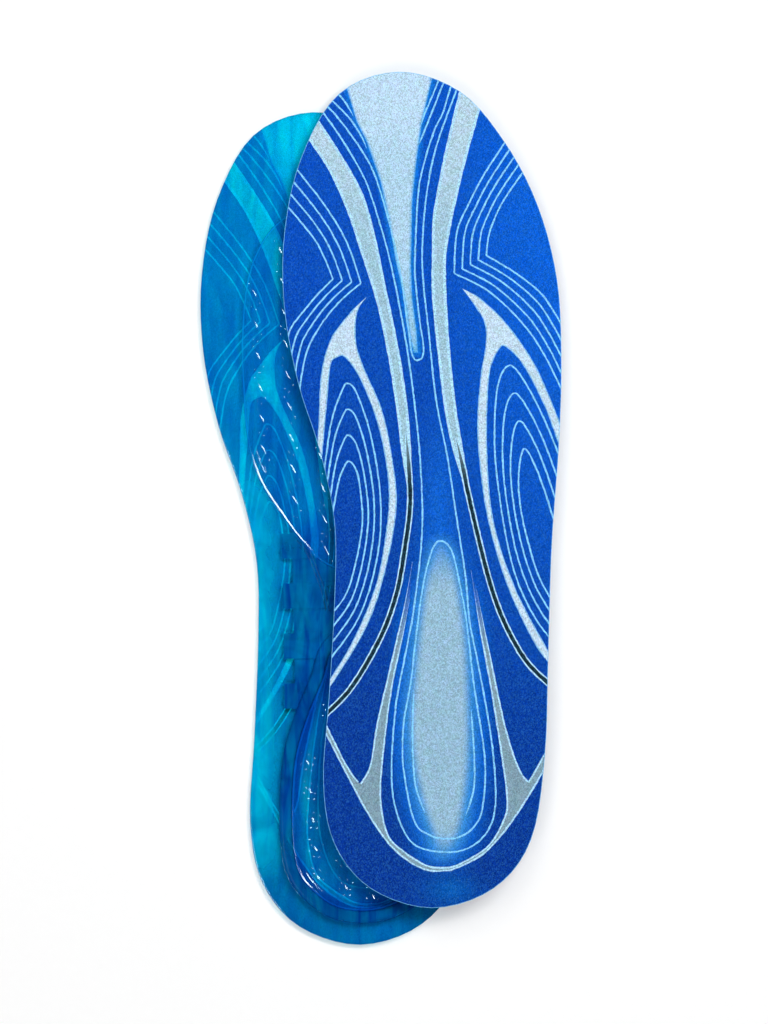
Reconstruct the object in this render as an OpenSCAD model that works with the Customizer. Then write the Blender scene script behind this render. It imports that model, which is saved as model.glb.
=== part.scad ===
// A pair of cushioned gel insoles. The left one lies with its gel side up, and the right one
// lies over it with its printed cover up. Millimetres, +Z up, toes towards +Y.
// Every insole piece is drawn in the right insole's own frame: the back of the heel at the
// origin, the skin side of the cover at z = 0, and the gel below it.

/* [Insole] */
// Length from the back of the heel to the tip of the toes
insole_length = 300; // [250:5:320]
// Width across the ball of the foot
ball_width = 100.5; // [85:0.5:110]

/* [Layers] */
// Thickness of the printed knit cover
cover_t = 0.8; // [0.5:0.1:1.2]
// Thickness of the clear film that bonds the cover to the gel
film_t = 0.2; // [0.1:0.05:0.4]
// Thickness of the gel flange round the edge
flange_t = 2; // [1.6:0.1:2.4]
// Width of the rim bead that closes the edge
rim_w = 1.2; // [0.8:0.1:2]
// How far the rim bead stands out of the flange
rim_h = 0.4; // [0.2:0.1:0.6]

/* [Gel] */
// Gel left between the film and a cushion
pocket_floor_t = 1; // [0.6:0.1:1.4]
// Depth of the plate of the forefoot cushion, without its cells
forefoot_t = 2.8; // [2.4:0.1:3.2]
// Depth of the plate of the heel cushion, without its cells
heel_t = 4.7; // [4:0.1:5.2]
// How far the cushions' cells stand out
cell_h = 0.5; // [0.3:0.1:0.8]

/* [Support frame] */
// Depth of the ring round the heel cushion
ring_t = 5.2; // [4.6:0.1:5.4]
// Width of that ring
ring_w = 4.5; // [3:0.5:6]
// Depth of the wide rungs under the arch
rung_t = 3.6; // [3.2:0.1:3.8]
// How much shallower the narrow rungs are
rung_drop = 0.4; // [0.2:0.1:0.6]

/* [Placement] */
// How far the left insole lies to the left of the right one
pair_shift_x = 25.6; // [20:0.2:40]
// How far the left insole's heel lies behind the right one's
pair_shift_y = 14; // [0:0.2:30]
// How far the left insole is turned outwards
pair_turn = 1; // [0:0.1:3]
// Air left where the right insole rests on the left one
rest_gap = 0.3; // [0.3:0.1:1]

/* [Hidden] */

drawn_length = 300;   // the size that the outlines below are drawn at
drawn_width = 100.5;
curve_steps = 5;      // points on each span of a curve

// The edge of the insole, from the tip of the toes down the little-toe side and back up the arch
edge_drawn = [
    [-12, 300], [10, 293], [26, 275], [38, 252], [45, 225], [46.5, 195], [45.5, 165], [43, 130],
    [41.7, 90], [40.5, 55], [35.5, 24.5], [22, 7], [0, 0], [-22, 7], [-35, 23], [-39, 45],
    [-37, 75], [-35, 110], [-35, 138], [-40, 163], [-48, 188], [-53, 215], [-53, 242], [-47, 269],
    [-33.5, 292]
];
// The forefoot cushion, from its back corner by the arch round by the toes
forefoot_drawn = [
    [-37.5, 181], [-39, 200], [-39, 222], [-36, 243], [-28, 258], [-15, 266.5], [2, 268], [17, 261],
    [28, 248], [34, 230], [36, 208], [35.5, 186], [34, 162], [30, 143], [20, 134], [4, 132.5],
    [-10, 137], [-19, 146], [-26.5, 156.5], [-33, 167]
];
// The heel cushion, from its back round by the arch
heel_drawn = [
    [-7.5, 13.5], [-18.5, 21.5], [-23, 31], [-24, 48], [-22.5, 67], [-18, 82], [-12, 96], [-8.5, 106],
    [0, 112], [9, 110], [16, 101], [22, 90], [27, 76], [29.5, 56], [28, 35], [21, 20.5], [8, 13]
];
// The support frame's rungs, from the forefoot cushion back to the heel
rungs_front = 148.5;
rung_pitch = 9;
rung_count = 8;
wide_left = -25.8;
narrow_left = -22;
rungs_right = [[76.5, 24], [100, 12], [125, 6], [150, 2]];      // as [y, x]

// The lattices of cells: one cell, the step to the next row and the step to the next column
forefoot_cells = [[-33, 213], [-0.5, 11.3], [10, 4.2]];
heel_cells = [[-16, 45.5], [-0.8, 10.4], [9.8, -3.6]];
lattice_reach = 20;   // steps that cover either cushion
cell_r = 3;           // foot of a cell
cell_top_r = 1.8;
cell_margin = 3.1;    // from a cell's centre to the cushion's edge

scale_x = ball_width / drawn_width;
scale_y = insole_length / drawn_length;
cover_and_film = cover_t + film_t;
heel_total = cover_and_film + max(heel_t + cell_h, ring_t);
ball_total = cover_and_film + forefoot_t + cell_h;

function sized(p) = [for (q = p) [q[0] * scale_x, q[1] * scale_y]];
function at(p, i) = p[(i + len(p)) % len(p)];
function spline(a, b, c, d, t) = 0.5 * (2 * b + (c - a) * t + (2 * a - 5 * b + 4 * c - d) * t * t
    + (3 * b - a - 3 * c + d) * t * t * t);
function closed_curve(p) = [for (i = [0:len(p) - 1], k = [0:curve_steps - 1])
    spline(at(p, i - 1), p[i], at(p, i + 1), at(p, i + 2), k / curve_steps)];
// Moves each point of a closed line to the left of its direction
function beside(p, d) = [for (i = [0:len(p) - 1])
    let (along = at(p, i + 1) - at(p, i - 1)) p[i] + d * [-along[1], along[0]] / norm(along)];
function crosses(a, b, q) = (a[1] > q[1]) != (b[1] > q[1])
    && q[0] < (b[0] - a[0]) * (q[1] - a[1]) / (b[1] - a[1]) + a[0];
function inside(p, q) = len([for (i = [0:len(p) - 1]) if (crosses(p[i], at(p, i + 1), q)) 1]) % 2 == 1;
function turned(q, angle) = [q[0] * cos(angle) - q[1] * sin(angle), q[0] * sin(angle) + q[1] * cos(angle)];

edge = closed_curve(sized(edge_drawn));
forefoot = closed_curve(sized(forefoot_drawn));
heel = closed_curve(sized(heel_drawn));

// Centres of a cushion's cells
function cells(outline, lattice) = let (
    room = beside(outline, -cell_margin),
    first = sized([lattice[0]])[0]
) [
    for (row = [-lattice_reach:lattice_reach], column = [-lattice_reach:lattice_reach])
        let (q = first + row * lattice[1] + column * lattice[2]) if (inside(room, q)) q
];

// A slab of a plan, from one depth below the film to another
module slab(plan, from, to) {
    translate([0, 0, -cover_and_film - to]) linear_extrude(to - from) polygon(plan);
}

module top_cover() {
    color("royalblue") translate([0, 0, -cover_t]) linear_extrude(cover_t) polygon(edge);
}

module barrier_film() {
    color("lightcyan") translate([0, 0, -cover_and_film]) linear_extrude(film_t) polygon(edge);
}

module rung(i, to) {
    y = [rungs_front - (i + 1) * rung_pitch, rungs_front - i * rung_pitch] * scale_y;
    left = (i % 2 == 0 ? wide_left : narrow_left) * scale_x;
    right = lookup(rungs_front - (i + 0.5) * rung_pitch, rungs_right) * scale_x;
    slab([[left, y[0]], [right, y[0]], [right, y[1]], [left, y[1]]], pocket_floor_t, to);
}

module gel_body() {
    color("deepskyblue") difference() {
        slab(edge, 0, flange_t + rim_h);
        slab(beside(edge, -rim_w), flange_t, ring_t);
        slab(forefoot, pocket_floor_t, ring_t);
        slab(beside(heel, ring_w), pocket_floor_t, ring_t);
        for (i = [0:rung_count - 1]) rung(i, ring_t);
    }
}

module support_frame() {
    color("steelblue") difference() {
        union() {
            slab(beside(heel, ring_w), pocket_floor_t, ring_t);
            for (i = [0:rung_count - 1]) rung(i, rung_t - (i % 2) * rung_drop);
        }
        slab(heel, 0, ring_t + 1);
        slab(forefoot, 0, ring_t + 1);
    }
}

// A plate in its pocket, with cells standing out of it
module cushion(outline, depth, lattice) {
    slab(outline, pocket_floor_t, depth);
    for (q = cells(outline, lattice))
        translate([q[0], q[1], -cover_and_film - depth - cell_h])
            cylinder(cell_h + 0.3, cell_top_r, cell_r, $fn = 32);
}

module forefoot_cushion() {
    color("dodgerblue") cushion(forefoot, forefoot_t, forefoot_cells);
}

module heel_cushion() {
    color("dodgerblue") cushion(heel, heel_t, heel_cells);
}

// The right insole's plane dips towards the toes, so that it rests at the heel and at the ball
rest_heel_y = 103;
rest_ball_y = 256;
dip = asin(2 * (heel_total - ball_total) / (rest_ball_y - rest_heel_y));
right_z = 2 * heel_total + rest_gap + rest_heel_y * tan(dip);
left_edge = [for (q = edge) turned(q, pair_turn) - [pair_shift_x, pair_shift_y]];
function low(p, axis) = min([for (q = p) q[axis]]);
function high(p, axis) = max([for (q = p) q[axis]]);
middle_x = (low(left_edge, 0) + high(edge, 0)) / 2;
middle_y = (low(left_edge, 1) + high(edge, 1) * cos(dip)) / 2;

module left_insole() {
    translate([-pair_shift_x - middle_x, -pair_shift_y - middle_y, 0])
        rotate([0, 0, pair_turn]) mirror([0, 0, 1]) children();
}

module right_insole() {
    translate([-middle_x, -middle_y, right_z]) rotate([-dip, 0, 0]) children();
}

left_insole() top_cover();  // left_top_cover
left_insole() barrier_film();  // left_barrier_film
left_insole() gel_body();  // left_gel_body
left_insole() support_frame();  // left_support_frame
left_insole() forefoot_cushion();  // left_forefoot_cushion
left_insole() heel_cushion();  // left_heel_cushion
right_insole() top_cover();  // right_top_cover
right_insole() barrier_film();  // right_barrier_film
right_insole() gel_body();  // right_gel_body
right_insole() support_frame();  // right_support_frame
right_insole() forefoot_cushion();  // right_forefoot_cushion
right_insole() heel_cushion();  // right_heel_cushion
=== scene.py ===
"""A pair of cushioned gel insoles: the left one lies gel side up, the right one over it cover up.

Every piece is drawn once, in the right insole's own frame in millimetres: the back of the heel at
the origin, toes towards +Y, the skin side of the cover at z = 0 and the gel below it. The same
drawing is then placed as the right insole, and mirrored as the left one, where the CAD model lies.
"""
import math

import bpy
import numpy as np
from mathutils import Matrix, Vector
from mathutils.geometry import delaunay_2d_cdt


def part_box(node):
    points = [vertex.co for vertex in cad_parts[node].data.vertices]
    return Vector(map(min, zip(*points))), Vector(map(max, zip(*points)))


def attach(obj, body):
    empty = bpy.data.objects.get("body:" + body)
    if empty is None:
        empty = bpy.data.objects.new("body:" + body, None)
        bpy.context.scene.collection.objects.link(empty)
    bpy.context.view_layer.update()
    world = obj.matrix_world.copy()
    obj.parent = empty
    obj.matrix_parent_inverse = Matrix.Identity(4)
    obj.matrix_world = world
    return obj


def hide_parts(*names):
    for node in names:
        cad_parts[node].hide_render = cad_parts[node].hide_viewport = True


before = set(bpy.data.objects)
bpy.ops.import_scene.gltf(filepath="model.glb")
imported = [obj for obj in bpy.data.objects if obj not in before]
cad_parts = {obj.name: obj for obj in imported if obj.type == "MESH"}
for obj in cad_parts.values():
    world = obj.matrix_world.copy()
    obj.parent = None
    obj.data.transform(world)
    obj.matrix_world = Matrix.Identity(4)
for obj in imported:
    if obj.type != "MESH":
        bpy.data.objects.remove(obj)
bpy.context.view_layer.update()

rng = np.random.default_rng(7)
MM = 0.001

# ---------------------------------------------------------------- outlines, as in the CAD model
EDGE = [
    (-12, 300), (10, 293), (26, 275), (38, 252), (45, 225), (46.5, 195), (45.5, 165), (43, 130),
    (41.7, 90), (40.5, 55), (35.5, 24.5), (22, 7), (0, 0), (-22, 7), (-35, 23), (-39, 45),
    (-37, 75), (-35, 110), (-35, 138), (-40, 163), (-48, 188), (-53, 215), (-53, 242), (-47, 269),
    (-33.5, 292),
]
FOREFOOT = [
    (-37.5, 181), (-39, 200), (-39, 222), (-36, 243), (-28, 258), (-15, 266.5), (2, 268), (17, 261),
    (28, 248), (34, 230), (36, 208), (35.5, 186), (34, 162), (30, 143), (20, 134), (4, 132.5),
    (-10, 137), (-19, 146), (-26.5, 156.5), (-33, 167),
]
HEEL = [
    (-7.5, 13.5), (-18.5, 21.5), (-23, 31), (-24, 48), (-22.5, 67), (-18, 82), (-12, 96), (-8.5, 106),
    (0, 112), (9, 110), (16, 101), (22, 90), (27, 76), (29.5, 56), (28, 35), (21, 20.5), (8, 13),
]
RUNGS_FRONT, RUNG_PITCH, RUNG_COUNT = 148.5, 9.0, 8
WIDE_LEFT, NARROW_LEFT = -25.8, -22.0
RUNGS_RIGHT = [(76.5, 24), (100, 12), (125, 6), (150, 2)]      # as (y, x)
RING_W = 4.5
PAIR_TURN = 1.0      # degrees that the left insole is turned outwards
CURVE_STEPS = 5
# A faint double line moulded in the frame, from the forefoot cushion's lip on to the heel's ring; its
# lines are painted lighter, a painted highlight
SEAM = [(-20.2, 146.5), (-17.4, 144), (-14.9, 138.6), (-12.9, 133), (-11.2, 128), (-9.8, 121)]

# ---------------------------------------------------------------- the print, in millimetres
TONGUE = [
    (-31, 303.5), (-30.5, 293.5), (-27, 282), (-23.5, 275), (-18.5, 260.5), (-15.5, 246.5),
    (-13, 232), (-10, 218.5), (-8, 205), (-6.5, 199), (-5, 199), (-5.5, 207), (-7, 218.5),
    (-7.5, 230), (-7, 253.5), (-5.5, 268), (-3.5, 282), (0, 297), (0.5, 303.5),
]
TONGUE_LOOP = [
    (-40, 290), (-34.7, 284.6), (-29.4, 277.8), (-24.3, 270.3), (-21, 264), (-18.2, 256),
    (-14.5, 242.5), (-11, 226), (-8.5, 207.5), (-7, 198), (-5.3, 196.2), (-3.8, 196.8), (-3, 201),
    (-4.5, 211.5), (-6, 226), (-6, 235), (-5, 255), (-3.5, 264.5), (0.5, 278), (4, 285.5),
    (7, 295.5),
]
TOE_LINES = [
    [(-36, 294.5), (-31.5, 289.6), (-28.2, 284)],
    [(-38.5, 292), (-32.9, 286.8), (-28.6, 282), (-25, 276.2), (-23.5, 272.5)],
    [(3.3, 299), (-0.4, 290), (-2.6, 285), (-3.8, 281)],
    [(5.3, 299), (1.1, 288.2), (-1.8, 281), (-4.8, 273.5)],
]
LONG_LINE = [
    (-41.5, 288.5), (-34.5, 279), (-28.5, 269.5), (-23.5, 260), (-19, 246.5), (-15, 232),
    (-11, 212.5), (-8, 194.5), (-6, 178.5), (-4.5, 164), (-3.5, 146), (-3.5, 136), (-4.5, 123),
    (-7, 104), (-10, 88.5), (-13, 72), (-14.5, 50.5), (-13.5, 37.5), (-9.5, 26.5), (-4, 21.5),
    (6.5, 20), (14, 22), (19.5, 27), (22.5, 35), (22.5, 48.5), (20.5, 65.5), (16.5, 87.5),
    (13.5, 102.5), (12, 119), (8.5, 142), (5.5, 162), (1.5, 182), (-1, 205), (-3, 223.5),
    (-3.5, 236), (-2, 255), (1, 271), (5.5, 284.5), (10, 296.5),
]
HEEL_LOOP = [
    (6, 24.8), (2.5, 25), (-0.5, 26), (-5.5, 29.5), (-8.5, 39.5), (-10.5, 53.5), (-10, 67),
    (-7.5, 81.5), (-5.5, 99), (-3, 116.5), (0, 128), (3, 131.5), (7, 128), (10, 116), (12.5, 101.5),
    (15, 80), (18.5, 57.5), (19, 45), (17.5, 33.5), (14, 28), (11, 26), (8.5, 25), (6, 24.8),
]
HEEL_LINES = [
    [(-6.5, 78), (-7, 61.5), (-6.5, 49), (-5.5, 42), (-2.5, 34)],
    [(14, 71), (15, 56), (15, 43), (12, 33)],
]
LEFT_BAND = (
    [(-47.5, 281.5), (-44, 276), (-36.5, 264.5), (-30, 250), (-25.5, 236.5), (-19.5, 217.5),
     (-15.5, 199), (-12.5, 180), (-11, 168), (-8.9, 150.5)],
    [(-44.5, 287.5), (-40.5, 281.5), (-33, 270), (-25.5, 256.5), (-21, 241.5), (-17, 222.5),
     (-13.5, 206), (-10.5, 189), (-8.5, 172), (-7.2, 150.5)],
)
RIGHT_BAND = (
    [(11.5, 298), (8, 283.5), (4.5, 268), (1, 249), (0.5, 236), (0.5, 220.5), (2.5, 199),
     (5.5, 175.5), (9.5, 158.5), (11.9, 150.5)],
    [(18.5, 292), (13, 273), (9, 257), (5.5, 240), (4.5, 229), (5.5, 206), (8, 181), (11.5, 159.5),
     (13.3, 150.5)],
)
CORES = [
    [(-9.5, 173), (-8, 153), (-8, 142), (-9.5, 130.5), (-12, 115.5), (-16, 102.5), (-22, 90),
     (-30, 77.5), (-39.5, 68)],
    [(8, 171), (10.5, 160.5), (13, 148.5), (17, 131), (21.5, 114), (27, 100), (34.5, 87.5),
     (44.5, 78)],
]
# First and last line of each family; the ones between are spaced evenly
LEFT_CHEVRONS = (
    ([(-53.5, 253.5), (-43, 241), (-39, 234), (-35.5, 225.5)],
     [(-51, 268), (-38.5, 252), (-30.5, 238.5), (-25.5, 224)]),
    ([(-35.5, 225.5), (-41, 220), (-46, 214), (-50.5, 208), (-52.5, 201.5)],
     [(-25.5, 224), (-33, 217.5), (-39.5, 209.5), (-45, 199), (-48, 182.5)]),
)
RIGHT_CHEVRONS = (
    ([(28.5, 278), (19, 263.5), (13.5, 253), (9, 242.5), (8, 227.5)],
     [(36, 268.5), (27.5, 256.5), (23.5, 249.5), (20.5, 241.5), (19.5, 234)]),
    ([(8, 227.5), (20.5, 221), (33, 209), (41, 197), (48, 182.5)],
     [(19.5, 234), (29.5, 228), (38.5, 221), (43, 215), (48, 206.5)]),
)
LEFT_NEST = (
    [(-39, 154), (-36, 174.5), (-32, 186), (-30, 188), (-27, 184.5), (-22, 169.5), (-18.5, 147.5),
     (-19.5, 126.5), (-26, 104.5), (-38.5, 86.5)],
    [(-36, 139), (-33.5, 152.5), (-31, 159), (-29.5, 160), (-27, 156.5), (-25.5, 148), (-25, 137),
     (-27.5, 123), (-31, 112), (-38, 103)],
)
RIGHT_NEST = (
    [(43.5, 95), (36, 105.5), (29.5, 120.5), (25, 142), (22.5, 165.5), (23.5, 186.5), (28, 194.5),
     (34.5, 186.5), (41, 173.5), (46.5, 159.5)],
    [(43.5, 109), (38, 119.5), (34.5, 131), (32, 142), (31, 153), (32, 162), (33.5, 164.5),
     (36.5, 159.5), (40, 150.5), (46, 131.5)],
)
# Each leaf: its outer side, and its inner side with the notch
LEFT_LEAF = (
    [(-38, 77), (-24, 100), (-17, 120.5), (-13, 142.5), (-14, 158.5), (-18, 178), (-25, 194.5),
     (-27.5, 203.5), (-27, 213.5), (-23.5, 219)],
    [(-23.5, 219), (-29, 213.5), (-36, 204), (-39.5, 191.5), (-40.5, 173.5), (-41.5, 157)],
    [(-41, 153), (-39.5, 163), (-38, 179.5), (-36.5, 194.5), (-34, 197.5), (-31, 197.5),
     (-25.5, 189.5), (-19, 172.5), (-15.5, 153), (-16, 137), (-20, 115.5), (-28.5, 95), (-38, 79.5)],
)
RIGHT_LEAF = (
    [(43.5, 85.5), (36, 96.5), (27, 116), (20.5, 138), (17.5, 157.5), (16.5, 173.5), (17.5, 189),
     (19.5, 202.5), (19, 210), (15.5, 216), (11, 222)],
    [(11, 222), (17, 218.5), (26, 210), (36, 196), (43.5, 179.5), (48, 167.5)],
    [(48.5, 159.5), (45, 168), (40.5, 180), (33, 194.5), (27, 201), (24, 200.5), (20.5, 191.5),
     (19.5, 171), (20.5, 148.5), (23.5, 132), (31, 111.5), (43.5, 88.5)],
)
LEFT_FORK = (
    [(-39.5, 68.5), (-31, 51.5), (-26.5, 45)],
    [(-25.5, 44.5), (-22, 51), (-19.5, 66), (-15, 85.5), (-10, 107.5), (-7, 124)],
    [(-8, 110.5), (-10.5, 97.5), (-14.5, 79), (-17.5, 56), (-18.5, 39.5), (-16, 26.5),
     (-10.5, 20.5), (-1.5, 15), (6.5, 14.5)],
    [(6.5, 13.5), (-3, 14), (-13.5, 21), (-22, 32.5), (-30, 47), (-39.5, 65.5)],
)
RIGHT_FORK = (
    [(14, 121), (17, 101.5), (21, 80), (25, 55), (27, 38.5), (25.5, 31), (20, 22), (10.5, 16),
     (6.5, 14.5)],
    [(6.5, 13.5), (17, 18.5), (25.5, 27), (34.5, 40), (42, 53), (43.5, 55)],
    [(43.5, 61), (37, 49), (34.5, 45)],
    [(34.5, 45), (31, 50), (26, 65.5), (20, 94), (16, 114)],
)
OVAL = [
    (3, 130), (6.5, 124.5), (9, 114), (11.5, 96), (12.5, 74.5), (12.5, 53), (11, 38.5), (9, 28),
    (5.5, 20), (3, 19), (0.5, 28), (-3, 38.5), (-6, 53), (-7, 67.5), (-5.5, 85), (-4, 99.5),
    (-2, 114), (0.5, 124.5),
]


# ---------------------------------------------------------------- curves and distances
def spline(a, b, c, d, t):
    return 0.5 * (2 * b + (c - a) * t + (2 * a - 5 * b + 4 * c - d) * t**2
                  + (3 * b - a - 3 * c + d) * t**3)


def curve(points, closed=False, step=None):
    """Points along a smooth line through the given ones, CURVE_STEPS to a span or step mm apart."""
    p = np.array(points, float)
    n = len(p)
    pick = (lambda i: p[i % n]) if closed else (lambda i: p[min(max(i, 0), n - 1)])
    made = []
    for i in range(n if closed else n - 1):
        span = np.linalg.norm(pick(i + 1) - pick(i))
        count = CURVE_STEPS if step is None else max(1, round(span / step))
        for k in range(count):
            made.append(spline(pick(i - 1), pick(i), pick(i + 1), pick(i + 2), k / count))
    if not closed:
        made.append(p[-1])
    return np.array(made)


def sideways(p, closed=True):
    """Unit vectors to the left of a line's direction."""
    if closed:
        along = np.roll(p, -1, 0) - np.roll(p, 1, 0)
    else:
        along = np.gradient(p, axis=0)
    along = along / np.linalg.norm(along, axis=1)[:, None]
    return np.stack([-along[:, 1], along[:, 0]], 1)


def beside(p, d, closed=True):
    return p + d * sideways(p, closed)


def dense(p, step):
    """A closed line with its straight pieces cut to at most step."""
    made = []
    for a, b in zip(p, np.roll(p, -1, 0)):
        count = max(1, math.ceil(np.linalg.norm(b - a) / step))
        made += [a + (b - a) * k / count for k in range(count)]
    return np.array(made)


def distance(q, line, closed=True):
    """How far each point of q is from a line."""
    a = line if closed else line[:-1]
    b = np.roll(line, -1, 0) if closed else line[1:]
    best = np.full(len(q), 1e9)
    for start, end in zip(a, b):
        along = end - start
        t = np.clip(((q - start) @ along) / max(along @ along, 1e-12), 0, 1)
        best = np.minimum(best, np.hypot(*(q - start - t[:, None] * along).T))
    return best


def inside(q, line):
    x, y = q.T
    odd = np.zeros(len(q), bool)
    for (ax, ay), (bx, by) in zip(line, np.roll(line, -1, 0)):
        if ay != by:
            odd ^= ((ay > y) != (by > y)) & (x < (bx - ax) * (y - ay) / (by - ay) + ax)
    return odd


def depth_inside(q, line):
    return np.where(inside(q, line), 1, -1) * distance(q, line)


def ease(low, high, v):
    t = np.clip((v - low) / (high - low), 0, 1)
    return t * t * (3 - 2 * t)


def hex_grid(low, high, step):
    rows = np.arange(low[1], high[1], step * 0.866)
    return np.array([(x + (i % 2) * step / 2, y) for i, y in enumerate(rows)
                     for x in np.arange(low[0], high[0], step)])


def area_of(p):
    x, y = p.T
    return 0.5 * np.sum(x * np.roll(y, -1) - y * np.roll(x, -1))


edge = curve(EDGE, closed=True)
forefoot = curve(FOREFOOT, closed=True)
heel = curve(HEEL, closed=True)


def rung_box(i):
    front = RUNGS_FRONT - i * RUNG_PITCH
    middle = front - RUNG_PITCH / 2
    left = WIDE_LEFT if i % 2 == 0 else NARROW_LEFT
    right = np.interp(middle, *zip(*RUNGS_RIGHT))
    return left, right, front - RUNG_PITCH, front


# ---------------------------------------------------------------- where the two insoles lie
def layer(node):
    """How far a piece reaches from the skin side, in mm: the left insole's lie gel side up."""
    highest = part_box(node)[1][2]
    return highest / MM


cover_t = layer("left_top_cover")
film_bottom = layer("left_barrier_film")
flange_t = layer("left_gel_body") - film_bottom - 0.4      # without the CAD's 0.4 mm rim bead
forefoot_top = layer("left_forefoot_cushion") - film_bottom
heel_top = layer("left_heel_cushion") - film_bottom
ring_top = layer("left_support_frame") - film_bottom
POCKET_FLOOR = 1.0
CELL_H = 0.5
RUNG_T, RUNG_DROP = 3.6, 0.4


def right_place():
    low, high = (np.array(c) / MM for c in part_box("right_top_cover"))
    dip = math.asin((high[2] - low[2] - cover_t) / np.ptp(edge[:, 1]))
    x = low[0] - edge[:, 0].min()
    y = high[1] - edge[:, 1].max() * math.cos(dip)
    z = high[2] + edge[:, 1].min() * math.sin(dip)
    return Matrix.Translation(Vector((x, y, z)) * MM) @ Matrix.Rotation(-dip, 4, "X")


def left_place():
    low = np.array(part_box("left_top_cover")[0]) / MM
    turn = Matrix.Rotation(math.radians(PAIR_TURN), 4, "Z")
    turned = edge @ np.array(turn.to_2x2()).T
    x, y = low[:2] - turned.min(0)
    return Matrix.Translation(Vector((x, y, 0)) * MM) @ turn @ Matrix.Diagonal((1, 1, -1, 1))


PLACES = {"left": left_place(), "right": right_place()}


# ---------------------------------------------------------------- colours
def ink(red, green, blue):
    """A printed colour as it shows under the scene's light, from 0-255 values."""
    v = np.array((red, green, blue)) / 255
    return np.where(v <= 0.04045, v / 12.92, ((v + 0.055) / 1.055) ** 2.4)


def mix(a, b, t):
    return a + (b - a) * np.asarray(t)[..., None]


def flat_ink(*rgb):
    return lambda q: np.tile(ink(*rgb), (len(q), 1))


oval = curve(OVAL, closed=True)


def ground_ink_with_painted_light(q):
    """Royal blue, brighter to the upper right partly as print and partly as painted light, with the azure
    glow round the heel's pale oval.
    """
    x, y = q.T
    # Partly painted light: lighter towards the toes and the upper right, as if lit from there; the rest
    # of this ramp is the print's own.
    up = ease(20, 280, y)
    colour = mix(ink(3, 50, 146), ink(3, 71, 184), up)
    colour = mix(colour, ink(5, 93, 213), 0.9 * up * ease(-10, 45, x))
    within = depth_inside(q, oval)
    azure = ease(-12, -4, within) * ease(10, 20, y) * (1 - 0.7 * ease(105, 125, y))
    colour = mix(colour, ink(6, 98, 208), 0.8 * azure)
    colour = mix(colour, ink(60, 146, 214), 0.9 * ease(-6.0, 0.0, within) * ease(12, 24, y))
    waist = np.exp(-((x - 2.5) / 6) ** 2) * ease(118, 140, y) * (1 - ease(140, 190, y))
    colour = mix(colour, ink(12, 100, 214), 0.7 * waist)
    pale = ease(-1.8, 2.0, within) * (1 - 0.8 * ease(112, 132, y)) * ease(17, 30, y)
    colour = mix(colour, ink(150, 187, 210), pale)
    colour = mix(colour, ink(16, 118, 214), 0.75 * ease(2.2, 0.2, tongue_side(q)))
    # A lighter patch at the back of the heel.
    patch = np.exp(-((x - 6.5) / 9) ** 2 - ((y - 6.5) / 5) ** 2)
    return mix(colour, ink(3, 92, 184), 0.8 * patch)


TONGUE_SIDES = [curve(side, step=1.5) for side in (TONGUE[1:11], TONGUE[10:18])]


def tongue_side(q):
    return np.minimum.reduce([distance(q, side, closed=False) for side in TONGUE_SIDES])


def tongue_ink(q):
    """Pale at the toes, bluer at the tip, and azure along both sides."""
    x, y = q.T
    colour = mix(ink(96, 172, 220), ink(150, 196, 224), ease(197, 206, y))
    colour = mix(colour, ink(172, 206, 228), ease(210, 242, y))
    colour = mix(colour, ink(186, 215, 238), ease(262, 292, y))
    return mix(ink(60, 156, 226), colour, ease(0.0, 0.9, tongue_side(q)))


line_ink = flat_ink(132, 205, 252)
leaf_ink = flat_ink(192, 216, 235)
leaf_edge_ink = flat_ink(132, 192, 234)
border_ink = flat_ink(172, 218, 246)


def fork_ink(q):
    """Silver grey, whose arms fade into the ground towards the waist."""
    return mix(np.tile(ink(128, 157, 172), (len(q), 1)), ground_ink_with_painted_light(q), ease(88, 120, q[:, 1]))


def band_ink(q):
    return mix(ink(158, 194, 212), ink(181, 208, 224), ease(230, 290, q[:, 1]))


def core_ink(q):
    """The bands' dark cores fade in from the toes."""
    return mix(ink(20, 36, 44), band_ink(q), ease(150, 186, q[:, 1]))


# ---------------------------------------------------------------- the print's regions
LINE_W = 0.58


def stroke(points, width=LINE_W, fade_in=0.0, fade_out=0.0):
    """A strip along a line, slightly ragged as ink on a knit is, and thinner where it fades."""
    p = curve(points, step=1.1)
    normal = sideways(p, closed=False)
    along = np.append(0, np.cumsum(np.linalg.norm(np.diff(p, axis=0), axis=1)))
    share = ease(-1, fade_in, along) * ease(-1, fade_out, along[-1] - along)
    half = width / 2 * np.maximum(share, 0.1)
    left = p + normal * (half + rng.normal(0, 0.05, len(p)) * share)[:, None]
    right = p - normal * (half + rng.normal(0, 0.05, len(p)) * share)[:, None]
    return np.concatenate([left, right[::-1]])


def family(first, last, count):
    a, b = np.array(first), np.array(last)
    return [a + (b - a) * i / (count - 1) for i in range(count)]


def band(sides):
    left, right = (curve(s, step=1.5) for s in sides)
    return np.concatenate([left, right[::-1]])


def patchwork(*sides):
    return np.concatenate([curve(s, step=1.5) for s in sides])


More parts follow.
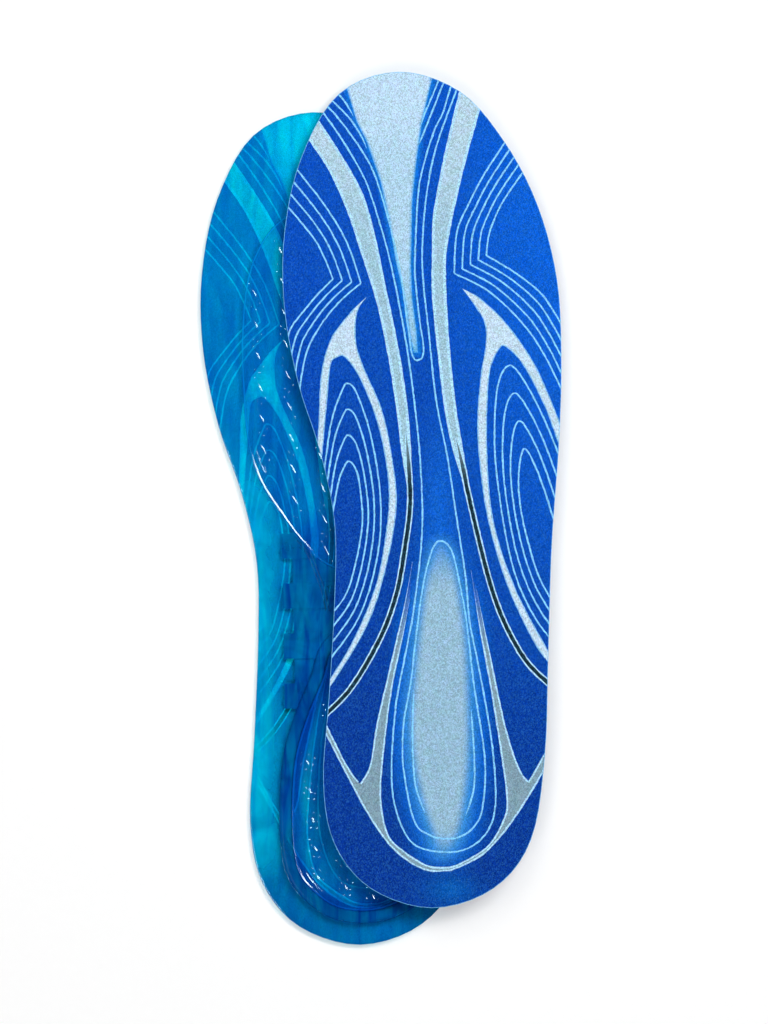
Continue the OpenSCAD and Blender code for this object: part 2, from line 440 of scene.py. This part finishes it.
def print_regions():
    """The print as (outline, ink) in the order that it is laid down; the ground's ink also carries
    painted light.
    """
    regions = [(edge, ground_ink_with_painted_light), (np.array(TONGUE, float), tongue_ink)]
    for sides, dark in ((LEFT_BAND, CORES[0]), (RIGHT_BAND, CORES[1])):
        regions.append((band(sides), band_ink))
        regions += [(stroke(side, 1.0, fade_out=14), border_ink) for side in sides]
        regions.append((stroke(dark, 2.3, fade_in=12), border_ink))
        regions.append((stroke(dark, 1.35, fade_in=16), core_ink))
    for leaf in (LEFT_LEAF, RIGHT_LEAF):
        regions.append((patchwork(*leaf), leaf_ink))
        regions += [(stroke(side, 0.4, 8, 8), leaf_edge_ink) for side in leaf]
    for fork, fades in ((LEFT_FORK, [(0, 0), (0, 36), (26, 0), (0, 0)]),
                        (RIGHT_FORK, [(36, 0), (0, 0), (0, 0), (0, 30)])):
        regions.append((patchwork(*fork), fork_ink))
        regions += [(stroke(side, 0.6, *ends), border_ink) for side, ends in zip(fork, fades)]
    lines = [TONGUE_LOOP, LONG_LINE, HEEL_LOOP]
    for chevrons, count in ((LEFT_CHEVRONS, 4), (RIGHT_CHEVRONS, 5)):
        for first, last in chevrons:
            lines += family(first, last, count)
    for first, last in (LEFT_NEST, RIGHT_NEST):
        lines += family(first, last, 4)
    regions += [(stroke(line), line_ink) for line in lines]
    regions += [(stroke(line, fade_out=4), line_ink) for line in TOE_LINES]
    regions += [(stroke(line, fade_in=4, fade_out=4), line_ink) for line in HEEL_LINES]
    return regions


# ---------------------------------------------------------------- meshes
class Plan:
    """A flat triangle mesh cut along every given outline, with each triangle's outlines."""

    def __init__(self, outlines, loose=(), points=()):
        verts, faces, edges = [], [], []
        for outline in outlines:
            p = outline if area_of(outline) > 0 else outline[::-1]
            faces.append(list(range(len(verts), len(verts) + len(p))))
            verts += [Vector(q) for q in p]
        for line in loose:
            first = len(verts)
            verts += [Vector(q) for q in line]
            edges += [(first + i, first + (i + 1) % len(line)) for i in range(len(line))]
        verts += [Vector(q) for q in points]
        made = delaunay_2d_cdt(verts, edges, faces, 0, 0.004)
        self.xy = np.array([tuple(v) for v in made[0]])
        self.faces = np.array(made[2])
        self.within = [set(ids) for ids in made[5]]

    def keep(self, wanted):
        """Keeps the triangles that wanted says, given the outlines that each lies in."""
        kept = [i for i, ids in enumerate(self.within) if wanted(ids)]
        self.faces = self.faces[kept]
        self.within = [self.within[i] for i in kept]
        used, self.faces = np.unique(self.faces, return_inverse=True)
        self.faces = self.faces.reshape(-1, 3)
        self.xy = self.xy[used]

    def rim(self):
        """The directed edges that have a triangle on one side only."""
        found = {}
        for f in self.faces.tolist():
            for a, b in zip(f, f[1:] + f[:1]):
                found[(a, b)] = True
        return [(a, b) for a, b in found if (b, a) not in found]


def with_alpha(colours):
    if colours.shape[1] == 4:
        return colours
    return np.column_stack([colours, np.ones(len(colours))])


def solid(name, plan, upper, lower, colours=None, wall_colour=None):
    """A closed mesh over a plan, between an upper and a lower height in mm, in the drawing frame.

    Faces come in three runs: the skin side, the gel side and the walls. Colours, if given, are
    one array of corner colours for each of the first two runs.
    """
    count, faces = len(plan.xy), plan.faces
    top = np.column_stack([plan.xy, np.broadcast_to(upper, count)])
    bottom = np.column_stack([plan.xy, np.broadcast_to(lower, count)])
    walls = [(a + count, b + count, b, a) for a, b in plan.rim()]
    mesh = bpy.data.meshes.new(name)
    mesh.from_pydata(np.vstack([top, bottom]) * MM,
                     [], faces.tolist() + (faces[:, ::-1] + count).tolist() + walls)
    uv = mesh.uv_layers.new(name="flat")
    index = np.empty(len(mesh.loops), np.int32)
    mesh.loops.foreach_get("vertex_index", index)
    uv.data.foreach_set("uv", (np.vstack([plan.xy, plan.xy])[index] / 100).ravel())
    run = np.repeat([0, 1, 2], [len(faces), len(faces), len(walls)])
    if colours is not None:
        wall = np.tile(wall_colour, (len(walls) * 4, 1))
        rgba = np.vstack([with_alpha(c) for c in (*colours, wall)])
        inks = mesh.color_attributes.new("ink", "FLOAT_COLOR", "CORNER")
        inks.data.foreach_set("color", rgba.ravel())
    return mesh, run


def place(name, mesh, run, side, mats, node):
    """Puts a copy of a drawn mesh where its insole lies, and ties it to the CAD node's body."""
    copy = mesh.copy()
    copy.name = f"{side}_{name}"
    copy.transform(PLACES[side])
    if side == "left":
        copy.flip_normals()
    obj = bpy.data.objects.new(f"{side}_{name}", copy)
    bpy.context.scene.collection.objects.link(obj)
    for mat in mats:
        copy.materials.append(mat)
    copy.polygons.foreach_set("material_index", run.astype(np.int32))
    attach(obj, f"{side}_insole")
    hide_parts(f"{side}_{node}")
    return obj


CREASE = math.radians(22)      # the sharpest bend that is smoothed


def smooth(mesh, run):
    """Smooths the gel side, except beside a crease, where shared normals would glint."""
    corner = np.empty(len(mesh.loops), np.int32)
    mesh.loops.foreach_get("vertex_index", corner)
    sizes = np.empty(len(run), np.int32)
    mesh.polygons.foreach_get("loop_total", sizes)
    normals = np.empty(len(run) * 3)
    mesh.polygons.foreach_get("normal", normals)
    of_corner = np.repeat(normals.reshape(-1, 3), sizes, axis=0)
    mean = np.zeros((len(mesh.vertices), 3))
    np.add.at(mean, corner, of_corner)
    mean /= np.linalg.norm(mean, axis=1)[:, None] + 1e-9
    bent = (of_corner * mean[corner]).sum(1) < math.cos(CREASE)
    creased = np.zeros(len(mesh.vertices), bool)
    creased[corner[bent]] = True
    face = np.repeat(np.arange(len(run)), sizes)
    flat = np.zeros(len(run), bool)
    flat[face[creased[corner]]] = True
    mesh.polygons.foreach_set("use_smooth", (run == 1) & ~flat)


class Nodes:
    """Shorthand for building a material's node tree."""

    def __init__(self, name):
        self.mat = bpy.data.materials.new(name)
        self.mat.use_nodes = True
        self.tree = self.mat.node_tree
        self.tree.nodes.clear()
        self.out = self.tree.nodes.new("ShaderNodeOutputMaterial")

    def add(self, kind, inputs=None, **settings):
        node = self.tree.nodes.new("ShaderNode" + kind)
        for key, value in settings.items():
            setattr(node, key, value)
        for key, value in (inputs or {}).items():
            socket = node.inputs[key]
            if isinstance(value, bpy.types.NodeSocket):
                self.tree.links.new(value, socket)
            else:
                socket.default_value = value
        return node

    def math(self, operation, a, b=0.0, c=0.0):
        return self.add("Math", {0: a, 1: b, 2: c}, operation=operation).outputs[0]

    def blend(self, kind, factor, a, b):
        node = self.add("Mix", {0: factor, 6: a, 7: b}, data_type="RGBA", blend_type=kind)
        return node.outputs[2]

    def finish(self, shader):
        self.tree.links.new(shader, self.out.inputs["Surface"])
        return self.mat


def grey(v):
    return (v, v, v, 1)


def knit_material(name, fade, grain_share):
    """Printed tricot knit. fade is how far the ink has paled, as on the back of the cloth."""
    n = Nodes(name)
    flat = n.add("UVMap", uv_map="flat").outputs[0]
    place_mm = n.add("VectorMath", {0: flat, 1: (100, 100, 100)}, operation="MULTIPLY").outputs[0]
    print_ = n.add("VertexColor", layer_name="ink").outputs[0]
    paled = n.blend("MIX", fade, print_, (0.58, 0.73, 0.87, 1))
    grain = n.add("TexNoise", {"Vector": place_mm, "Scale": 3.6, "Detail": 2.0, "Roughness": 0.7})
    turned = n.add("VectorMath", {0: place_mm, 1: (1.35, 1.0, 1.0)}, operation="MULTIPLY").outputs[0]
    loops = n.add("TexVoronoi", {"Vector": turned, "Scale": 2.7, "Randomness": 0.8})
    loop_tones = n.add("SeparateColor", {0: loops.outputs["Color"]})
    loop_tone = loop_tones.outputs[0]
    speck = n.math("MULTIPLY_ADD", loop_tone, 0.5, grain.outputs[0])
    shade = n.add("MapRange", {0: speck, 1: 0.5, 2: 1.0, 3: 0.62, 4: 1.34}).outputs[0]
    tone = n.add("CombineColor", {0: shade, 1: shade, 2: shade}).outputs[0]
    speckled = n.blend("MULTIPLY", grain_share, paled, tone)
    dye = n.add("TexNoise", {"Vector": place_mm, "Scale": 0.35, "Detail": 3.0})
    cloud = n.add("MapRange", {0: dye.outputs[0], 1: 0.35, 2: 0.65, 3: 0.95, 4: 1.05}).outputs[0]
    clouds = n.add("CombineColor", {0: cloud, 1: 1.0, 2: cloud}).outputs[0]
    clouded = n.blend("MULTIPLY", 1.0, speckled, clouds)
    # Painted sheen: random lighter-blue specks stand for light glancing off single fibres.
    painted_sheen_specks = n.add("MapRange", {0: loop_tones.outputs[1], 1: 0.55, 2: 1.0, 3: 0.0, 4: 0.16}).outputs[0]
    colour = n.blend("MIX", painted_sheen_specks, clouded, (0.08, 0.45, 0.85, 1))
    height = n.math("ADD", n.math("MULTIPLY", loops.outputs[0], -0.6), speck)
    bump = n.add("Bump", {"Height": height, "Strength": 0.4, "Distance": 0.00014})
    shader = n.add("BsdfPrincipled", {
        "Base Color": colour, "Roughness": 0.82, "Specular IOR Level": 0.04,
        "Sheen Weight": 0.08, "Sheen Roughness": 0.5, "Sheen Tint": (0.3, 0.55, 1, 1),
        "Normal": bump.outputs[0]})
    return n.finish(shader.outputs[0])


def cut_edge_material():
    """The cut edge of the white knit: loose pale fibres, tinged by the ink."""
    n = Nodes("cut_knit_edge")
    where = n.add("TexCoord").outputs["Object"]
    fibres = n.add("TexNoise", {"Vector": where, "Scale": 1800.0, "Detail": 4.0})
    colour = n.blend("MIX", fibres.outputs[0], (0.30, 0.45, 0.66, 1), (0.82, 0.86, 0.90, 1))
    bump = n.add("Bump", {"Height": fibres.outputs[0], "Strength": 0.6, "Distance": 0.0001})
    shader = n.add("BsdfPrincipled", {"Base Color": colour, "Roughness": 0.9,
                                      "Specular IOR Level": 0.1, "Normal": bump.outputs[0]})
    return n.finish(shader.outputs[0])


def clear_material():
    """A gel face that is bonded to another layer, and so has no gloss of its own."""
    n = Nodes("gel_inner_face")
    where = n.add("TexCoord").outputs["Object"]
    swirl = n.add("TexNoise", {"Vector": where, "Scale": 60.0, "Detail": 2.0})
    level = n.add("MapRange", {0: swirl.outputs[0], 3: 0.975, 4: 1.0}).outputs[0]
    tint = n.add("CombineColor", {0: 0.2, 1: level, 2: level}).outputs[0]
    return n.finish(n.add("BsdfTransparent", {"Color": tint}).outputs[0])


def gel_material(name, tint, body, gloss, roughness, streakiness):
    """Clear tinted gel, seen through as a filter, with a little milkiness and a wet gloss.

    tint is what one pass through the piece lets by, on top of what its thickness takes, and body
    the colour of its haze. The mesh's own colours carry the thickness, and their alpha the haze.
    streakiness is how far the lengthwise streaks darken it.
    """
    n = Nodes(name)
    where = n.add("TexCoord").outputs["Object"]
    thick = n.add("VertexColor", layer_name="ink")
    swirl = n.add("TexNoise", {"Vector": where, "Scale": 55.0, "Detail": 3.0, "Distortion": 1.2})
    uneven = n.add("MapRange", {0: swirl.outputs[0], 1: 0.35, 2: 0.65, 3: 0.7, 4: 1.3}).outputs[0]
    haze = n.math("MULTIPLY", thick.outputs[1], uneven)
    combed = n.add("VectorMath", {0: where, 1: (6.0, 1.0, 1.0)}, operation="MULTIPLY").outputs[0]
    flow = n.add("TexNoise", {"Vector": combed, "Scale": 55.0, "Detail": 3.0, "Distortion": 0.8})
    streak = n.add("MapRange", {0: flow.outputs[0], 1: 0.32, 2: 0.66,
                                3: 1.05 - streakiness, 4: 1.05}).outputs[0]
    streaks = n.add("CombineColor", {0: 1.0, 1: streak, 2: n.math("POWER", streak, 0.25)}).outputs[0]
    filtered = n.blend("MULTIPLY", 1.0, (*tint, 1), thick.outputs[0])
    varied = n.blend("MULTIPLY", 1.0, filtered, streaks)
    ripple = n.add("TexNoise", {"Vector": where, "Scale": 380.0, "Detail": 2.0})
    bump = n.add("Bump", {"Height": ripple.outputs[0], "Strength": 0.10, "Distance": 0.0002})
    clear = n.add("BsdfTransparent", {"Color": varied})
    milky = n.blend("MULTIPLY", 1.0, (*body, 1), thick.outputs[0])
    streaky = n.blend("MULTIPLY", 1.0, milky, streaks)
    milk = n.add("BsdfDiffuse", {"Color": streaky, "Normal": bump.outputs[0]})
    gel = n.add("MixShader", {0: haze, 1: clear.outputs[0], 2: milk.outputs[0]})
    shine = n.add("BsdfAnisotropic", {"Color": (0.7, 0.9, 1.0, 1), "Roughness": roughness,
                                      "Normal": bump.outputs[0]})
    facing = n.add("LayerWeight", {"Blend": 0.5, "Normal": bump.outputs[0]}).outputs["Facing"]
    grazing = n.math("POWER", facing, 5.0)
    wetness = n.math("MULTIPLY_ADD", grazing, 0.6, gloss)
    wet = n.add("MixShader", {0: wetness, 1: gel.outputs[0], 2: shine.outputs[0]})
    return n.finish(wet.outputs[0])


def film_material():
    """Clear polyurethane film with a faint crinkle."""
    n = Nodes("clear_film")
    where = n.add("TexCoord").outputs["Object"]
    crinkle = n.add("TexNoise", {"Vector": where, "Scale": 160.0, "Detail": 3.0})
    level = n.add("MapRange", {0: crinkle.outputs[0], 3: 0.98, 4: 1.0}).outputs[0]
    tint = n.add("CombineColor", {0: level, 1: level, 2: level}).outputs[0]
    clear = n.add("BsdfTransparent", {"Color": tint})
    body = n.add("BsdfPrincipled", {"Base Color": (0.8, 0.9, 0.95, 1), "Roughness": 0.25})
    shader = n.add("MixShader", {0: 0.01, 1: clear.outputs[0], 2: body.outputs[0]})
    return n.finish(shader.outputs[0])


# ---------------------------------------------------------------- the cover and its film
EDGE_LINE_W = 0.22      # how much of the cut edge shows from above
EDGE_DROP = 0.12        # how far the cut edge is pressed down


def make_cover():
    regions = print_regions()
    rings = [beside(oval, d) for d in (11, 8, 5.5, 3.5, 1.8, 0.6, -0.6, -1.8, -3.5)]
    grid = hex_grid(edge.min(0), edge.max(0), 3.0)
    soft = [side + sideways(side, closed=False) * d for side in TONGUE_SIDES
            for d in (-2.2, -1.2, -0.6, 0.6, 1.2, 2.2)]
    grid = np.concatenate([grid, *soft])
    grid = grid[depth_inside(grid, edge) > 1.5]
    inset = dense(beside(edge, -EDGE_LINE_W), 2.0)
    plan = Plan([outline for outline, _ in regions], [inset, *rings], grid)
    plan.keep(lambda ids: 0 in ids)
    inks = np.array([paint(plan.xy) for _, paint in regions])
    topmost = np.array([max(ids) for ids in plan.within])
    corner = inks[topmost[:, None], plan.faces]
    behind = inks.copy()
    fine = [paint is line_ink for _, paint in regions]
    behind[fine] = mix(inks[fine], inks[0], 0.35)      # fine lines are fainter on the back
    centre = plan.xy[plan.faces].mean(1)
    near_edge = distance(centre, edge) < EDGE_LINE_W * 0.75
    corner[near_edge] = mix(corner[near_edge], ink(110, 190, 245), 0.85)
    gel_side = behind[topmost[:, None], plan.faces][:, ::-1]
    pressed = -EDGE_DROP * (distance(plan.xy, edge) < 0.05)
    return solid("printed_cover", plan, pressed, -cover_t,
                 (corner.reshape(-1, 3), gel_side.reshape(-1, 3)), ink(206, 214, 222))


def make_film():
    outline = beside(edge, -0.06)
    grid = hex_grid(edge.min(0), edge.max(0), 6.0)
    plan = Plan([outline], points=grid[depth_inside(grid, outline) > 2])
    plan.keep(lambda ids: 0 in ids)
    return solid("clear_film", plan, -cover_t - 0.02, -film_bottom + 0.02)


# ---------------------------------------------------------------- the gel pieces
ABSORB = np.array((1.4, 0.05, 0.01))      # what a millimetre of gel takes from red, green and blue
BONDED = 0.02      # mm left between two faces that are bonded, so that they don't flicker


def gel_solid(name, plan, depth, floor, haze, strength):
    """A gel piece from a floor depth to its own depth below the film, both in mm.

    haze is its milkiness at each vertex, and strength how strongly its thickness colours it. The
    outer side alone carries the tint of one pass through the piece; the inner side is clear.
    """
    passed = np.exp(-np.outer((depth - floor) * strength, ABSORB) / 2)
    outer = np.column_stack([passed, np.broadcast_to(haze, len(depth))])
    faces = plan.faces
    inner = np.ones((len(faces) * 3, 4))
    wall = np.append(np.exp(-ABSORB * 0.6), 0.7)
    return solid(name, plan, -film_bottom - floor - BONDED, -film_bottom - depth,
                 (inner, outer[faces[:, ::-1]].reshape(-1, 4)), wall)


def round_over(d, radius, drop):
    """How much lower a surface is, d from its edge, where the edge is rounded."""
    t = np.clip(1 - d / radius, 0, 1)
    return drop * (1 - np.sqrt(1 - np.minimum(t * t, 1) * 0.999))


def frame_outlines():
    """The ring round the heel cushion, then the rungs."""
    boxes = []
    for i in range(RUNG_COUNT):
        x0, x1, y0, y1 = rung_box(i)
        boxes.append(np.array([(x0, y0), (x1, y0), (x1, y1), (x0, y1)], float))
    return [beside(heel, RING_W), *boxes]


def make_gel_sheet():
    pockets = [forefoot, *frame_outlines()]
    rims = [beside(edge, -d) for d in (0.2, 0.45, 0.8, 1.15, 1.5, 2.2)]
    walls = [beside(outline, 0.08) for outline in pockets[:2]]
    grid = hex_grid(edge.min(0), edge.max(0), 2.4)
    grid = grid[depth_inside(grid, edge) > 2.8]
    plan = Plan([edge, *pockets], [*rims, *walls], grid)
    plan.keep(lambda ids: 0 in ids)
    d = distance(plan.xy, edge)
    bead = np.exp(-((d - 0.75) / 0.5) ** 2) * 0.09
    depth = flange_t + bead - round_over(d, 0.15, 0.15)
    depth = depth + 0.06 * np.sin(plan.xy[:, 1] / 9) * np.sin(plan.xy[:, 0] / 7) * ease(2, 6, d)
    for outline in pockets:
        depth = np.where(depth_inside(plan.xy, outline) > -0.01, POCKET_FLOOR, depth)
    x, y = plan.xy.T
    # Partly painted light: the arch side's margin is milkier and so lighter, as if lit from that side;
    # the back is darker, partly painted shade.
    lit_arch_side = ease(-24, -36, x) * (1 - ease(140, 190, y)) * ease(12, 40, y)
    at_back = 1 - ease(4, 30, y)
    haze = 0.09 + 0.4 * lit_arch_side * (1 - at_back)
    mesh, run = gel_solid("gel_sheet", plan, depth, 0, haze, 1 + 3 * at_back)
    count = len(plan.faces)
    in_pocket = (depth[plan.faces] < flange_t - 0.7).any(1)
    run[count:2 * count][in_pocket] = 0
    return mesh, run


def make_frame():
    outlines = frame_outlines()
    cuts = [forefoot, heel]
    dense_outlines = [dense(o, 0.8) for o in [*outlines, *cuts]]
    first_cut = len(outlines)
    seam = curve(SEAM, step=0.4)
    along_seam = [beside(seam, d, closed=False) for d in np.arange(-1.2, 1.3, 0.15)]
    grid = hex_grid((-32, 4), (38, 152), 0.9)
    grid = np.concatenate([grid[distance(grid, seam, closed=False) > 1.3], *along_seam])
    plan = Plan(dense_outlines, [beside(heel, d) for d in (0.3, 0.8, 1.5, 3.0, 3.8, 4.2)], grid)
    plan.keep(lambda ids: min(ids, default=99) < first_cut and not ids & {first_cut, first_cut + 1})
    q = plan.xy
    depth = np.full(len(q), RUNG_T - RUNG_DROP)
    strength = np.full(len(q), 1.8)
    for outline in outlines[1::2]:
        wide = depth_inside(q, outline) > -0.01
        depth = np.where(wide, RUNG_T, depth)
        strength = np.where(wide, 1.0, strength)
    in_ring = depth_inside(q, outlines[0])
    across = np.clip(in_ring / RING_W, 0, 1)
    dome = RUNG_T + (ring_top - RUNG_T) * np.sqrt(np.clip(1 - (2 * across - 1) ** 4, 0, 1))
    depth = np.where(in_ring > -0.01, dome, depth)
    on_seam = np.exp(-((distance(q, seam, closed=False) - 0.6) / 0.25) ** 2)
    depth = depth + 0.09 * on_seam
    # Painted highlight: along the seam's lines the gel is tinted and clouded far less, so they show
    # lighter, as if catching the light.
    strength = strength * (1 - 0.7 * ease(-0.5, 1.0, in_ring)) * (1 - 0.9 * on_seam)
    return gel_solid("arch_frame", plan, depth, POCKET_FLOOR, 0.7 - 0.4 * on_seam, strength)


# ---------------------------------------------------------------- the cushions
CELL_LEAN = math.radians(-63)      # direction of a cell's ridge
FOREFOOT_CELLS = ((-33.0, 213.0), (-0.5, 11.3), (10.0, 4.2))      # one cell, next row, next column
HEEL_CELLS = ((-16.0, 45.5), (-0.8, 10.4), (9.8, -3.6))
CELL_MARGIN = 3.1
RIDGE_R, RIDGE_H = 0.5, 0.122
PIP_R, PIP_H = 0.5, 0.12
PIPS = [np.array(p) for p in ((-1.0, -5.2), (0.5, -6.2), (2.0, -3.9), (-1.8, 3.2))]
HEEL_PIPS = [np.array(p) for p in ((1.7, -0.8), (-1.5, 1.5), (0.4, 2.7), (-0.8, -2.7), (2.6, 1.6),
                                   (-2.4, -0.6), (1.3, -2.9), (-2.2, 3.4))]
LIP_SLOPE = 0.235      # rise of a lip's outer side
LIP_FALL = 0.1         # fall of its inner side
LIPPED = 3.5           # how far in from a cushion's edge its lips reach


def lattice(start, row, column, outline):
    count = range(-20, 21)
    points = np.array([np.array(start) + i * np.array(row) + j * np.array(column)
                       for i in count for j in count])
    return points[depth_inside(points, outline) > CELL_MARGIN]


def ridge_place(p, length):
    """Distance of each point, measured from a cell's centre, to its ridge, and how far along."""
    along = np.array((math.cos(CELL_LEAN), math.sin(CELL_LEAN)))
    t = np.clip(p @ along, -length / 2, length / 2)
    return np.hypot(*(p - t[:, None] * along).T), 2 * t / length


def cone(far, radius, height):
    return height * np.clip(1 - far / radius, 0, 1)


def cell_relief(q, centres, ridge_length, pips):
    """Height of the cells: a low dome with a ridge along it, and small pips beside it."""
    height = np.zeros(len(q))
    for centre in centres:
        near = np.abs(q - centre).max(1) < 7.5
        p = q[near] - centre
        dome = 0.06 * ease(3.2, 0.4, np.hypot(*p.T))
        off, along = ridge_place(p, ridge_length)
        detail = cone(off, RIDGE_R, RIDGE_H * (1 - 0.2 * along ** 2))
        for pip in pips:
            detail = np.maximum(detail, cone(np.hypot(*(p - pip).T), PIP_R, PIP_H))
        height[near] = np.maximum(height[near], dome + detail)
    return height


def cell_points(centres, ridge_length, pips):
    """Points close enough together to round the cells' ridges and pips."""
    local = hex_grid((-7, -7), (7, 7), 0.17)
    wanted = ridge_place(local, ridge_length)[0] < RIDGE_R + 0.15
    for pip in pips:
        wanted |= np.hypot(*(local - pip).T) < PIP_R + 0.15
    return np.concatenate([local[wanted] + centre for centre in centres])


def lip(d, start, height):
    """A raised edge: evenly up to its height at start, then falling gently inwards."""
    drop = np.where(d < start, LIP_SLOPE * (start - d), LIP_FALL * (d - start))
    return np.clip(height - drop, 0, None)


def make_cushion(name, outline, top, lattice_of, ridge_length, pips, lips, strength):
    """A cushion: rows of cells on a plate, and lips along parts of its edge."""
    rings = [beside(outline, -d) for d in (0.1, 0.25, *np.arange(0.4, LIPPED + 0.1, 0.16))]
    centres = lattice(*lattice_of, outline)
    grid = hex_grid(outline.min(0), outline.max(0), 0.9)
    grid = grid[depth_inside(grid, outline) > LIPPED + 0.1]
    near_cells = cell_points(centres, ridge_length, pips)
    grid = np.concatenate([grid, near_cells[depth_inside(near_cells, outline) > 0.8]])
    plan = Plan([outline], rings, grid)
    plan.keep(lambda ids: 0 in ids)
    q = plan.xy
    d = distance(q, outline)
    depth = top - CELL_H - round_over(d, 0.25, 0.3) + cell_relief(q, centres, ridge_length, pips)
    for start, height in lips(q):
        depth = depth + lip(d, start, height)
    # Partly painted highlight: a milkier, lighter line 0.5 mm in from the edge, partly milkier gel and
    # partly standing for light caught along the edge.
    haze = 0.22 + 0.3 * np.exp(-((d - 0.5) / 0.35) ** 2)
    return gel_solid(name, plan, np.minimum(depth, top), POCKET_FLOOR, haze, strength(q))


def forefoot_lips(q):
    """The forefoot cushion's lip stands out by the arch, with a shorter one inside it."""
    y = q[:, 1]
    by_arch = ease(184, 178, y) * (q[:, 0] < 5)
    return ((0.95, 0.18 * by_arch * ease(138, 150, y)),
            (3.0, 0.16 * by_arch * ease(169, 173, y)))


def heel_lips(q):
    """The heel cushion's double lip stands out round its back."""
    back = ease(30, 22, q[:, 1])
    return (0.9, 0.03 + 0.12 * back), (2.6, 0.14 * back)


def forefoot_strength(q):
    """The forefoot cushion is bluest towards the arch."""
    return 0.5 + 7.5 * ease(166, 144, q[:, 1])


def heel_strength(q):
    """The heel cushion is bluest along its edge."""
    return 1 + 7 * ease(5, 1, depth_inside(q, heel))


# ---------------------------------------------------------------- build everything
knit_front = knit_material("printed_knit", 0.0, 1.0)
knit_back = knit_material("printed_knit_back", 0.2, 0.5)
cut_edge = cut_edge_material()
film = film_material()
inner_face = clear_material()
soft_gel = gel_material("turquoise_gel", (0.2, 1, 1), (0.0, 0.70, 1.0), 0.035, 0.07, 0.3)
firm_gel = gel_material("deep_blue_gel", (0.2, 0.92, 0.95), (0.0, 0.165, 0.41), 0.001, 0.15, 0.7)
pad_gel = gel_material("cushion_gel", (0.2, 0.97, 1), (0.0, 0.36, 0.85), 0.04, 0.06, 0.4)

cover = make_cover()
film_sheet = make_film()
gel_pieces = {
    "gel_sheet": (make_gel_sheet(), soft_gel, "soft_gel", "gel_body"),
    "arch_frame": (make_frame(), firm_gel, "firm_gel", "support_frame"),
    "forefoot_pad": (make_cushion("forefoot_pad", forefoot, forefoot_top, FOREFOOT_CELLS,
                                  3.2, PIPS, forefoot_lips, forefoot_strength),
                     pad_gel, "cushion_gel", "forefoot_cushion"),
    "heel_pad": (make_cushion("heel_pad", heel, heel_top, HEEL_CELLS,
                              1.6, HEEL_PIPS, heel_lips, heel_strength),
                 pad_gel, "cushion_gel", "heel_cushion"),
}
for (mesh, run), *_ in gel_pieces.values():
    smooth(mesh, run)
for side in PLACES:
    mesh, run = cover
    made = place("printed_cover", mesh, run, side, [knit_front, knit_back, cut_edge],
                 "top_cover")
    mesh, run = film_sheet
    place("clear_film", mesh, run, side, [film] * 3, "barrier_film")
    for name, ((mesh, run), mat, slot, node) in gel_pieces.items():
        made = place(name, mesh, run, side, [inner_face, mat, mat], node)


# ---------------------------------------------------------------- floor, light and camera
def floor_material():
    n = Nodes("white_table")
    where = n.add("TexCoord").outputs["Object"]
    tooth = n.add("TexNoise", {"Vector": where, "Scale": 300.0, "Detail": 2.0})
    colour = n.blend("MIX", tooth.outputs[0], grey(0.72), grey(0.74))
    shader = n.add("BsdfPrincipled", {
        "Base Color": colour, "Roughness": 0.9, "Specular IOR Level": 0.0,
        "Emission Color": grey(1.0), "Emission Strength": 0.25})
    return n.finish(shader.outputs[0])


def make_floor(size=6.0, drop=0.0001):
    mesh = bpy.data.meshes.new("floor")
    h = size / 2
    mesh.from_pydata([(-h, -h, -drop), (h, -h, -drop), (h, h, -drop), (-h, h, -drop)], [], [(0, 1, 2, 3)])
    mesh.materials.append(floor_material())
    floor = bpy.data.objects.new("floor", mesh)
    bpy.context.scene.collection.objects.link(floor)


def softbox(name, azimuth, elevation, distance_m, size, watts, glint=False):
    """A square area light aimed at the pair. Azimuth 0 is at the heels, 90 to the right.

    The gel mirrors only the light for glints, and that one lights nothing.
    """
    a, e = math.radians(azimuth), math.radians(elevation)
    data = bpy.data.lights.new(name, "AREA")
    data.size = size
    data.energy = watts
    lamp = bpy.data.objects.new(name, data)
    way = Vector((math.sin(a) * math.cos(e), -math.cos(a) * math.cos(e), math.sin(e)))
    lamp.location = way * distance_m
    lamp.rotation_mode = "QUATERNION"
    lamp.rotation_quaternion = way.to_track_quat("Z", "Y")
    lamp.visible_glossy = glint
    lamp.visible_diffuse = not glint
    bpy.context.scene.collection.objects.link(lamp)


def make_world():
    world = bpy.data.worlds.new("studio")
    bpy.context.scene.world = world
    world.use_nodes = True
    tree = world.node_tree
    back = tree.nodes["Background"]
    seen = tree.nodes.new("ShaderNodeLightPath")
    level = tree.nodes.new("ShaderNodeMapRange")
    tree.links.new(seen.outputs["Is Camera Ray"], level.inputs[0])
    level.inputs[3].default_value = 0.12
    level.inputs[4].default_value = 0.92
    tree.links.new(level.outputs[0], back.inputs["Strength"])


INSOLE_LENGTH = 300
INSOLE_SHARE = 0.8184      # of the picture's height that the upper insole fills
AIM = (-17.2, 141.8)       # middle of the picture, in mm from the upper insole's heel


def make_camera():
    """Straight down from far off, aimed at the middle of the pair."""
    view_height = INSOLE_LENGTH * MM / INSOLE_SHARE
    away = 2.2
    data = bpy.data.cameras.new("camera")
    data.sensor_width = 36
    data.lens = 36 * away / view_height
    camera = bpy.data.objects.new("camera", data)
    heel_x, heel_y, top_z = PLACES["right"].translation
    x, y = AIM
    camera.location = (heel_x + x * MM, heel_y + y * MM, top_z + away)
    bpy.context.scene.collection.objects.link(camera)
    bpy.context.scene.camera = camera


make_floor()
make_world()
softbox("key", azimuth=134, elevation=65, distance_m=1.6, size=0.6, watts=16)
softbox("glint", azimuth=-57, elevation=64, distance_m=4.0, size=1.1, watts=100, glint=True)
softbox("fill", azimuth=-20, elevation=62, distance_m=1.6, size=0.9, watts=9)
softbox("side", azimuth=-160, elevation=60, distance_m=1.6, size=0.9, watts=8)
make_camera()
bpy.context.scene.view_settings.view_transform = "Standard"
bpy.context.scene.cycles.transparent_max_bounces = 48      # the gel is many clear layers deep
